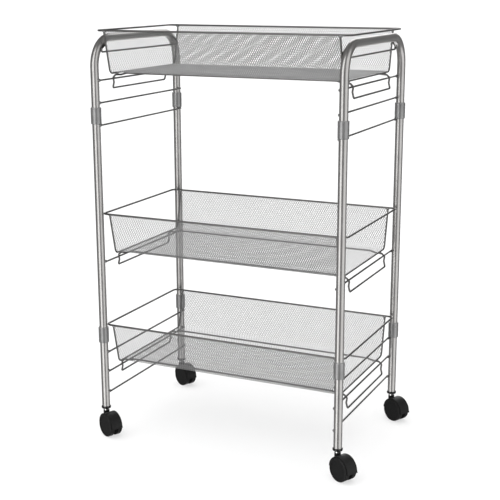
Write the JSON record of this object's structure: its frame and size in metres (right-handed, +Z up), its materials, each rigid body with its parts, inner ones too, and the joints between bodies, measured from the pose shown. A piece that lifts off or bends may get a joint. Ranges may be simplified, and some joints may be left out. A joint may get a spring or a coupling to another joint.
{
  "type": "rolling utility cart",
  "caption": "Rolling utility cart: open mesh trays hooked over wire rungs between two tube end frames, on twin-wheel swivel casters.",
  "frame": {"origin": "on the floor, at the middle of the cart's outline with all its casters trailing the same way", "axes": "+Z up, +X along the cart's length towards the side that the casters trail to, +Y from front to back"},
  "size_m": [0.4376, 0.2864, 0.6335],
  "materials": {
    "tube": "satin silver-coated steel tube, fine vertical haze, brighter along the crown",
    "wire": "satin silver-coated steel wire with small weld beads at the joints",
    "mesh": "silver-grey coated expanded metal with small diamond openings",
    "sleeve": "mid grey moulded plastic, satin",
    "black_plastic": "black moulded nylon with a fine matt grain",
    "wheel": "black moulded wheel, satin tread with light scuffing",
    "stem": "bright zinc-plated steel"
  },
  "bodies": {
    "frame": {"upper_bow_left": "tube", "upper_rungs_left": "wire", "middle_rungs_left": "wire", "lower_rungs_left": "wire", "upper_bow_right": "tube", "upper_rungs_right": "wire", "middle_rungs_right": "wire", "lower_rungs_right": "wire", "middle_post_front_left": "tube", "lower_post_front_left": "tube", "upper_sleeve_front_left": "sleeve", "lower_sleeve_front_left": "sleeve", "middle_post_front_right": "tube", "lower_post_front_right": "tube", "upper_sleeve_front_right": "sleeve", "lower_sleeve_front_right": "sleeve", "middle_post_back_left": "tube", "lower_post_back_left": "tube", "upper_sleeve_back_left": "sleeve", "lower_sleeve_back_left": "sleeve", "middle_post_back_right": "tube", "lower_post_back_right": "tube", "upper_sleeve_back_right": "sleeve", "lower_sleeve_back_right": "sleeve", "caster_socket_front_left": "black_plastic", "caster_stem_front_left": "stem", "caster_socket_front_right": "black_plastic", "caster_stem_front_right": "stem", "caster_socket_back_left": "black_plastic", "caster_stem_back_left": "stem", "caster_socket_back_right": "black_plastic", "caster_stem_back_right": "stem"},
    "top_tray": {"top_tray_rim": "wire", "top_tray_mesh": "mesh", "top_tray_hoops": "wire", "top_tray_hanger": "wire"},
    "middle_tray": {"middle_tray_rim": "wire", "middle_tray_mesh": "mesh", "middle_tray_hoops": "wire", "middle_tray_hanger": "wire"},
    "bottom_tray": {"bottom_tray_rim": "wire", "bottom_tray_mesh": "mesh", "bottom_tray_hoops": "wire", "bottom_tray_hanger": "wire"},
    "swivel_front_left": {"caster_hood_front_left": "black_plastic", "caster_axle_front_left": "stem"},
    "wheel_inner_front_left": {"caster_wheel_inner_front_left": "wheel"},
    "wheel_outer_front_left": {"caster_wheel_outer_front_left": "wheel"},
    "swivel_front_right": {"caster_hood_front_right": "black_plastic", "caster_axle_front_right": "stem"},
    "wheel_inner_front_right": {"caster_wheel_inner_front_right": "wheel"},
    "wheel_outer_front_right": {"caster_wheel_outer_front_right": "wheel"},
    "swivel_back_left": {"caster_hood_back_left": "black_plastic", "caster_axle_back_left": "stem"},
    "wheel_inner_back_left": {"caster_wheel_inner_back_left": "wheel"},
    "wheel_outer_back_left": {"caster_wheel_outer_back_left": "wheel"},
    "swivel_back_right": {"caster_hood_back_right": "black_plastic", "caster_axle_back_right": "stem"},
    "wheel_inner_back_right": {"caster_wheel_inner_back_right": "wheel"},
    "wheel_outer_back_right": {"caster_wheel_outer_back_right": "wheel"}
  },
  "joints": [
    {"name": "top_tray_lift", "type": "slide", "parent": "frame", "child": "top_tray", "axis": [0, 0, 1], "range_m": [0, 0.022]},
    {"name": "middle_tray_lift", "type": "slide", "parent": "frame", "child": "middle_tray", "axis": [0, 0, 1], "range_m": [0, 0.022]},
    {"name": "bottom_tray_lift", "type": "slide", "parent": "frame", "child": "bottom_tray", "axis": [0, 0, 1], "range_m": [0, 0.022]},
    {"name": "swivel_front_left_turn", "type": "hinge", "parent": "frame", "child": "swivel_front_left", "pos_m": [-0.2075, -0.11983, 0.0392], "axis": [0, 0, 1], "continuous": true},
    {"name": "wheel_inner_front_left_spin", "type": "hinge", "parent": "swivel_front_left", "child": "wheel_inner_front_left", "pos_m": [-0.19681, -0.12528, 0.018], "axis": [0.454, 0.891, 0], "continuous": true},
    {"name": "wheel_outer_front_left_spin", "type": "hinge", "parent": "swivel_front_left", "child": "wheel_outer_front_left", "pos_m": [-0.19681, -0.12528, 0.018], "axis": [0.454, 0.891, 0], "continuous": true},
    {"name": "swivel_front_right_turn", "type": "hinge", "parent": "frame", "child": "swivel_front_right", "pos_m": [0.1851, -0.11983, 0.0392], "axis": [0, 0, 1], "continuous": true},
    {"name": "wheel_inner_front_right_spin", "type": "hinge", "parent": "swivel_front_right", "child": "wheel_inner_front_right", "pos_m": [0.19579, -0.12528, 0.018], "axis": [0.454, 0.891, 0], "continuous": true},
    {"name": "wheel_outer_front_right_spin", "type": "hinge", "parent": "swivel_front_right", "child": "wheel_outer_front_right", "pos_m": [0.19579, -0.12528, 0.018], "axis": [0.454, 0.891, 0], "continuous": true},
    {"name": "swivel_back_left_turn", "type": "hinge", "parent": "frame", "child": "swivel_back_left", "pos_m": [-0.2075, 0.13117, 0.0392], "axis": [0, 0, 1], "continuous": true},
    {"name": "wheel_inner_back_left_spin", "type": "hinge", "parent": "swivel_back_left", "child": "wheel_inner_back_left", "pos_m": [-0.19681, 0.12572, 0.018], "axis": [0.454, 0.891, 0], "continuous": true},
    {"name": "wheel_outer_back_left_spin", "type": "hinge", "parent": "swivel_back_left", "child": "wheel_outer_back_left", "pos_m": [-0.19681, 0.12572, 0.018], "axis": [0.454, 0.891, 0], "continuous": true},
    {"name": "swivel_back_right_turn", "type": "hinge", "parent": "frame", "child": "swivel_back_right", "pos_m": [0.1851, 0.13117, 0.0392], "axis": [0, 0, 1], "continuous": true},
    {"name": "wheel_inner_back_right_spin", "type": "hinge", "parent": "swivel_back_right", "child": "wheel_inner_back_right", "pos_m": [0.19579, 0.12572, 0.018], "axis": [0.454, 0.891, 0], "continuous": true},
    {"name": "wheel_outer_back_right_spin", "type": "hinge", "parent": "swivel_back_right", "child": "wheel_outer_back_right", "pos_m": [0.19579, 0.12572, 0.018], "axis": [0.454, 0.891, 0], "continuous": true}
  ]
}
